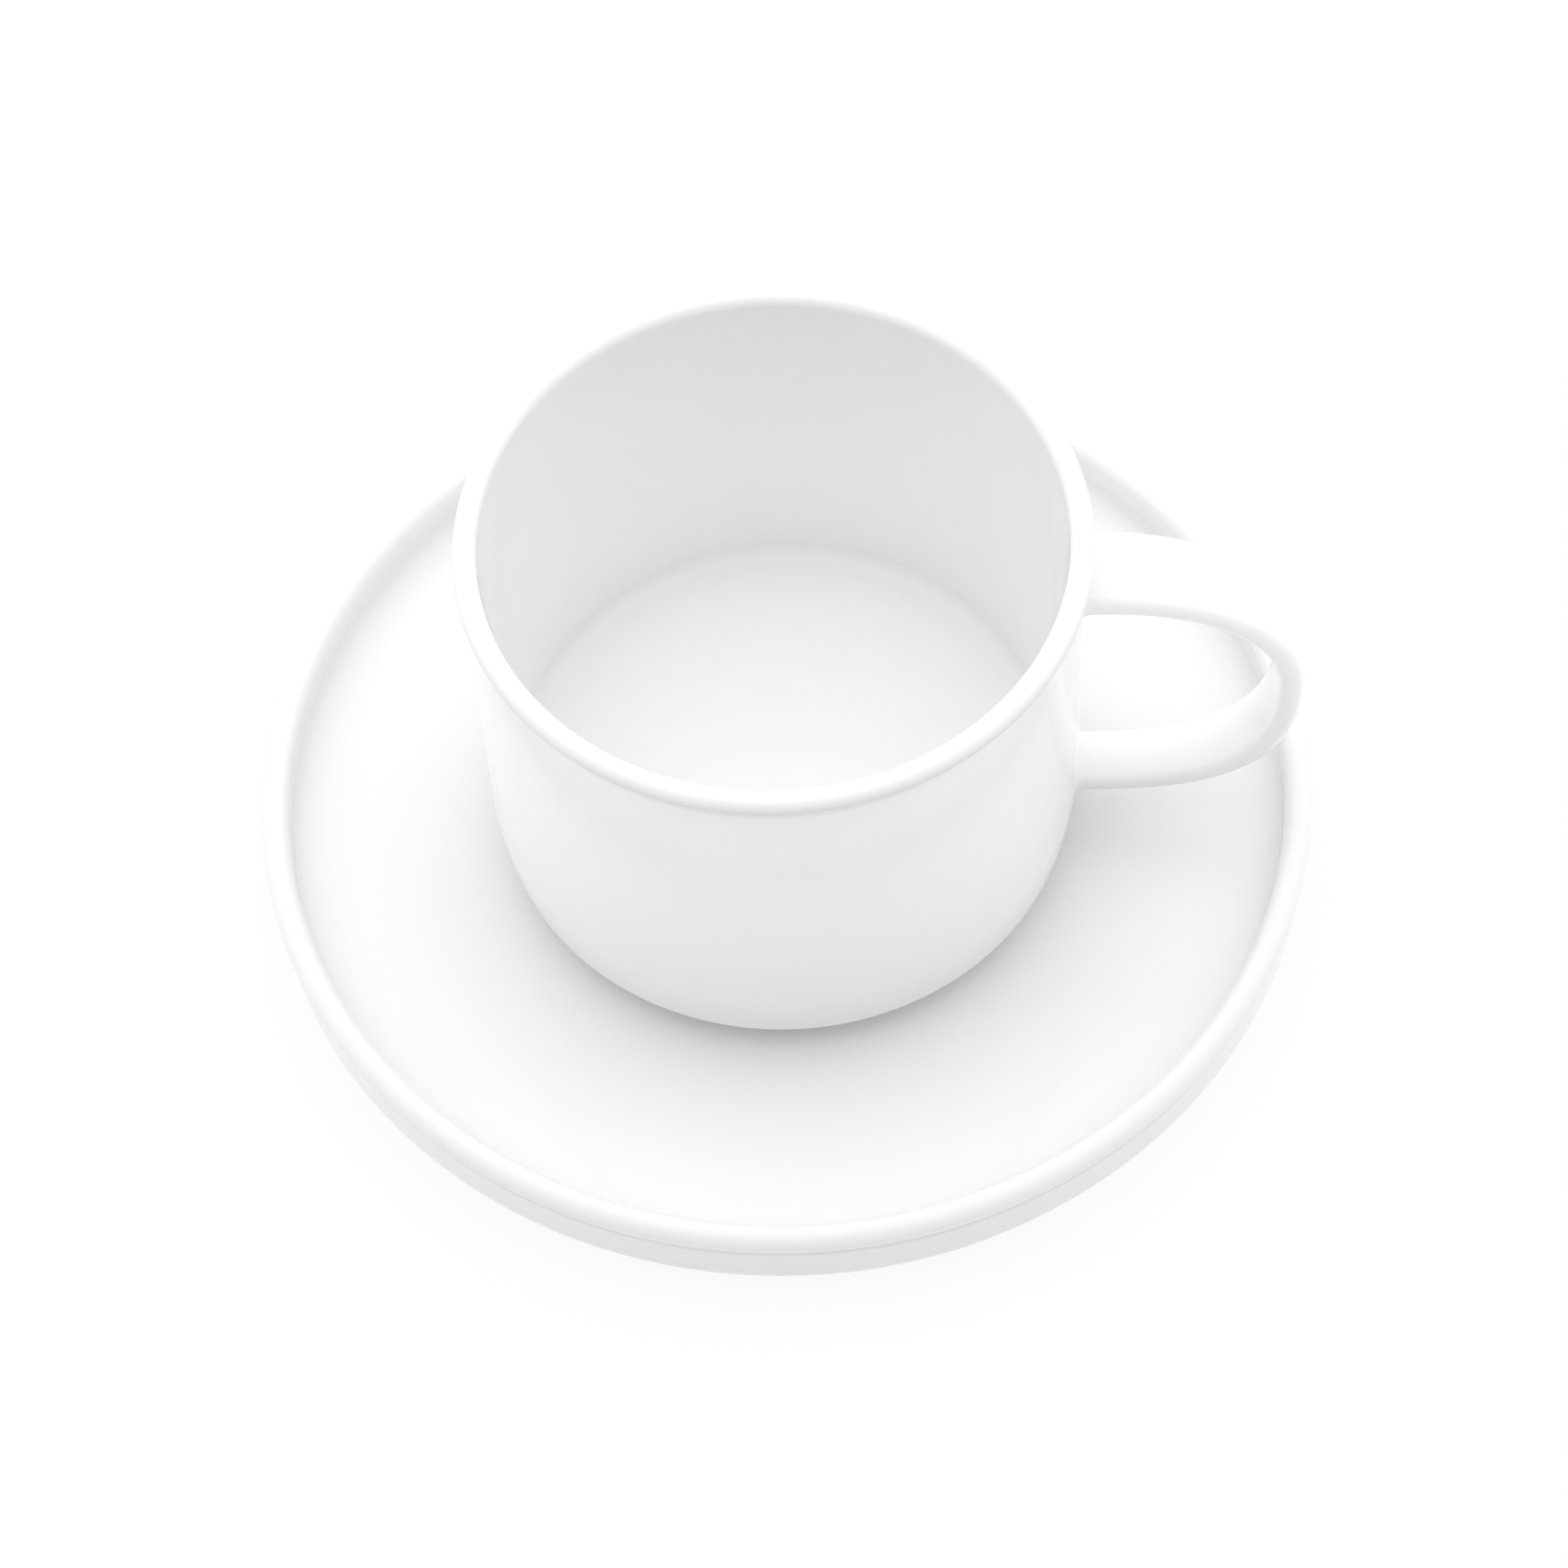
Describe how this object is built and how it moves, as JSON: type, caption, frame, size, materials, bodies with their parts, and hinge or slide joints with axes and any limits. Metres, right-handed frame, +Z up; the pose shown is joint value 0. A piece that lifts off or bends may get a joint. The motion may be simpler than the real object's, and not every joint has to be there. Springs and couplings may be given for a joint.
{
  "type": "espresso cup with saucer",
  "caption": "Low straight-sided espresso cup with a rolled lip and a strap handle, standing in the shallow well of a flat saucer with an upright rounded rim.",
  "frame": {"origin": "on the table, under the common axis of cup and saucer", "axes": "+Z up along the axis of cup and saucer, +X towards the handle, +Y to the back as pictured"},
  "size_m": [0.115, 0.115, 0.057],
  "materials": {
    "saucer_glaze": "clear gloss glaze over white porcelain, foot ring wiped bare",
    "cup_glaze": "clear gloss glaze over white porcelain, foot ring wiped bare",
    "handle_glaze": "clear gloss glaze over white porcelain, glazed with the cup"
  },
  "bodies": {
    "saucer": {"saucer": "saucer_glaze"},
    "cup": {"cup_body": "cup_glaze", "handle": "handle_glaze"}
  },
  "joints": [
    {"name": "cup_lift", "type": "slide", "parent": "saucer", "child": "cup", "axis": [0, 0, 1], "range_m": [0, 0.04]}
  ]
}
